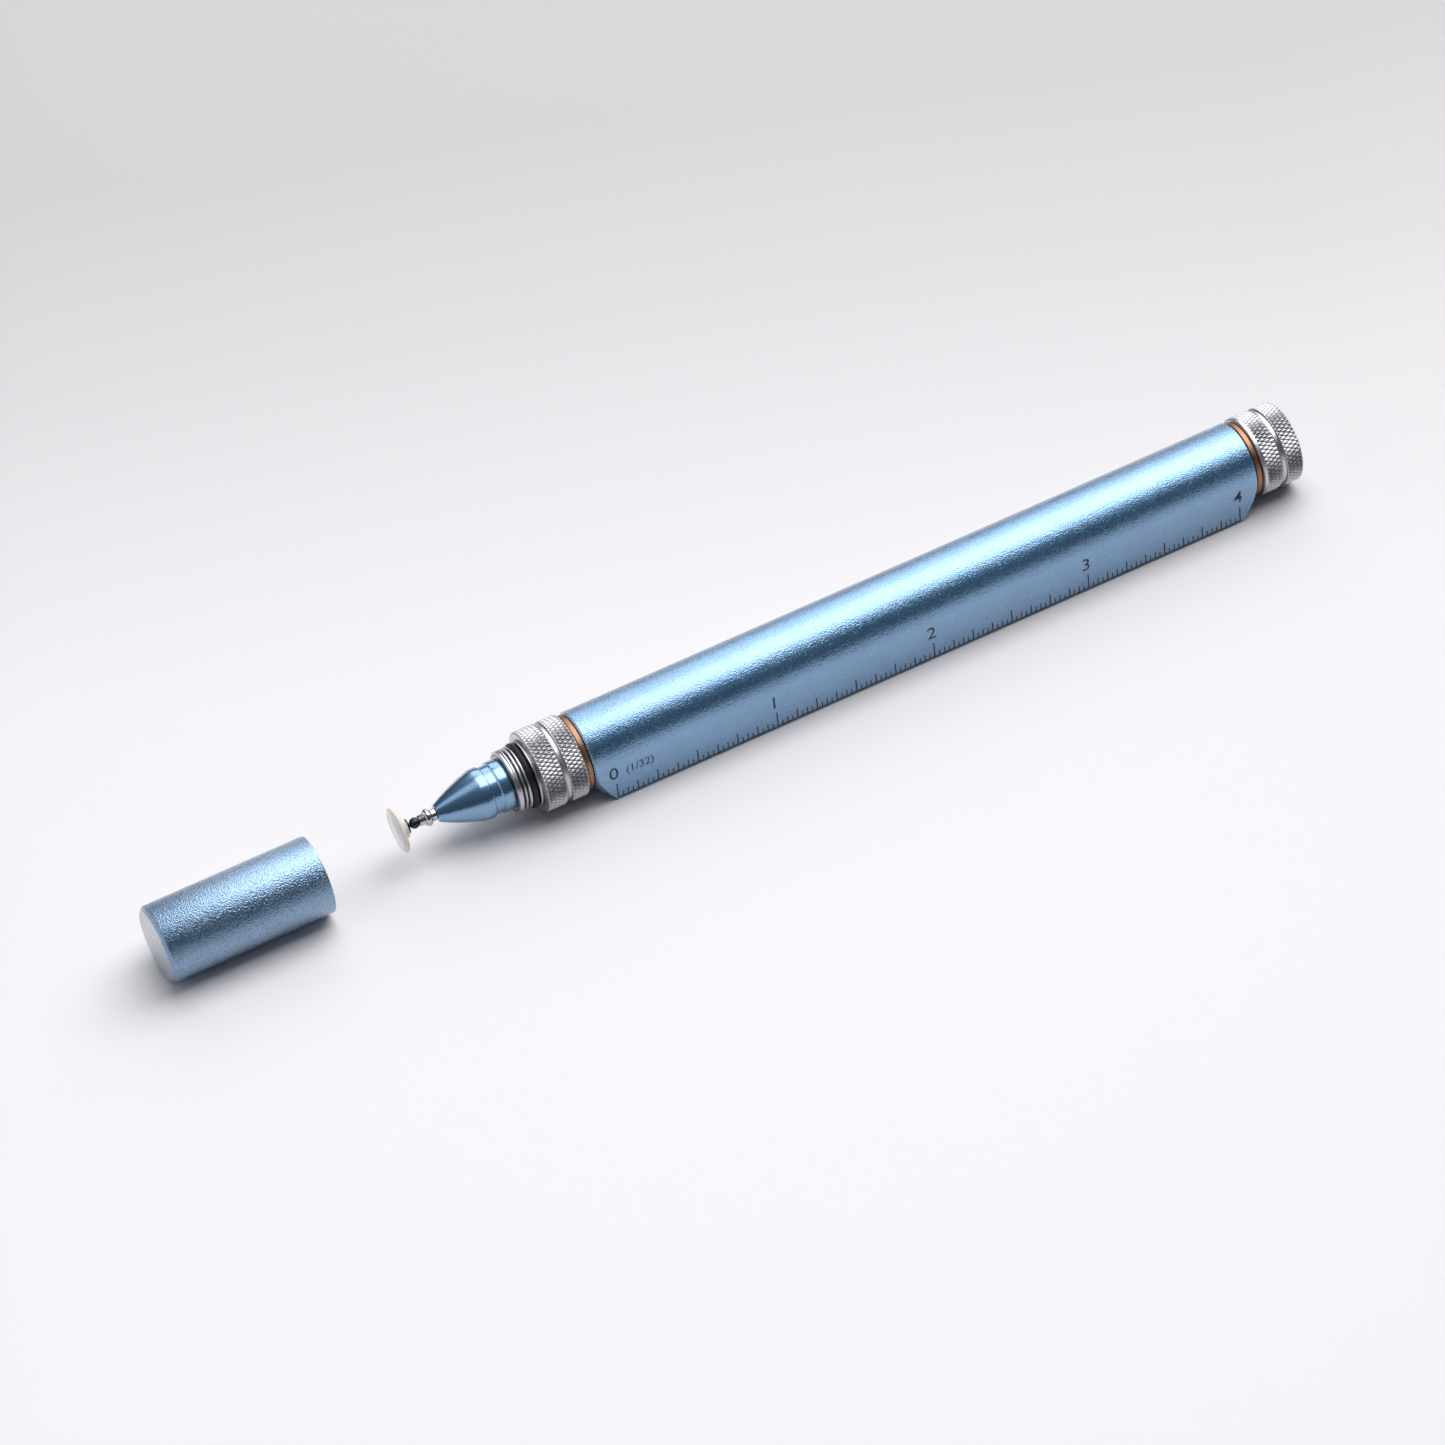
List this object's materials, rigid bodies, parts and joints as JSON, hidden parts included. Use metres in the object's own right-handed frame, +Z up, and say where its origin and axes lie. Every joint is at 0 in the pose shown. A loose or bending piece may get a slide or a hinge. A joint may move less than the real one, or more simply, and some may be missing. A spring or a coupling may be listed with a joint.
{
  "type": "multi tool pen",
  "caption": "Multi tool pen with a ruler barrel, knurled collars, stylus nose and ballpoint refill, driver bit, and its cap taken off.",
  "frame": {"origin": "centre of the flat underside of the barrel, which the pen rests on", "axes": "+X along the pen from the nose to the rear knob, +Z up from the surface, -Y out of the side with the ruler"},
  "size_m": [0.1807, 0.0129, 0.0122],
  "materials": {
    "barrel_blue": "bead blasted, anodised",
    "copper": "bright",
    "collar_steel": "polished, knurled",
    "black_rubber": "satin",
    "chrome": "mirror",
    "black_plastic": "gloss",
    "clear_plastic": "clear",
    "bush_plastic": "satin",
    "brass": "satin",
    "tube_steel": "satin",
    "plug_plastic": "satin",
    "tool_steel": "satin"
  },
  "bodies": {
    "barrel_body": {"barrel": "barrel_blue"},
    "front_washer_body": {"front_washer": "copper"},
    "front_collar_body": {"front_collar": "collar_steel", "cap_seal": "black_rubber", "front_seal": "black_rubber", "refill_bush": "bush_plastic"},
    "nose_body": {"nose_cone": "barrel_blue", "nose_seal": "black_rubber", "stylus_stem": "chrome"},
    "stylus_ball_body": {"stylus_ball": "black_plastic"},
    "stylus_disc_body": {"stylus_hub": "black_plastic", "stylus_disc": "clear_plastic"},
    "refill_body": {"refill_tube": "tube_steel", "refill_point": "brass", "writing_ball": "tool_steel", "refill_plug": "plug_plastic"},
    "rear_washer_body": {"rear_washer": "copper"},
    "rear_collar_body": {"rear_collar": "collar_steel", "rear_seal": "black_rubber", "bit_holder": "tool_steel", "bit_magnet": "tool_steel"},
    "driver_bit_body": {"driver_bit": "tool_steel"},
    "cap_body": {"cap_shell": "barrel_blue"}
  },
  "joints": [
    {"name": "front_thread_travel", "type": "slide", "parent": "barrel_body", "child": "front_washer_body", "axis": [-1, 0, 0], "range_m": [0, 0.0052]},
    {"name": "front_collar_turn", "type": "hinge", "parent": "front_washer_body", "child": "front_collar_body", "pos_m": [-0.0539, 0, 0.00615], "axis": [-1, 0, 0], "range_deg": [0, 1440]},
    {"name": "nose_pull", "type": "slide", "parent": "front_collar_body", "child": "nose_body", "axis": [-1, 0, 0], "range_m": [0, 0.0042]},
    {"name": "stylus_tilt_up", "type": "hinge", "parent": "nose_body", "child": "stylus_ball_body", "pos_m": [-0.0792, 0, 0.00615], "axis": [0, 1, 0], "range_deg": [-25, 25]},
    {"name": "stylus_tilt_side", "type": "hinge", "parent": "stylus_ball_body", "child": "stylus_disc_body", "pos_m": [-0.0792, 0, 0.00615], "axis": [0, 0, 1], "range_deg": [-25, 25]},
    {"name": "refill_draw", "type": "slide", "parent": "front_collar_body", "child": "refill_body", "axis": [1, 0, 0], "range_m": [0, 0.012]},
    {"name": "rear_thread_travel", "type": "slide", "parent": "barrel_body", "child": "rear_washer_body", "axis": [1, 0, 0], "range_m": [0, 0.0052]},
    {"name": "rear_collar_turn", "type": "hinge", "parent": "rear_washer_body", "child": "rear_collar_body", "pos_m": [0.0539, 0, 0.00615], "axis": [1, 0, 0], "range_deg": [0, 1440]},
    {"name": "driver_bit_draw", "type": "slide", "parent": "rear_collar_body", "child": "driver_bit_body", "axis": [-1, 0, 0], "range_m": [0, 0.01]},
    {"name": "cap_travel", "type": "slide", "parent": "barrel_body", "child": "cap_body", "axis": [-0.9994, -0.0324, -0.0136], "range_m": [-0.03302, 0]}
  ],
  "couplings": [
    {"joint": "front_collar_turn", "follows": "front_thread_travel", "rad_per_m": 4831},
    {"joint": "rear_collar_turn", "follows": "rear_thread_travel", "rad_per_m": 4831}
  ]
}
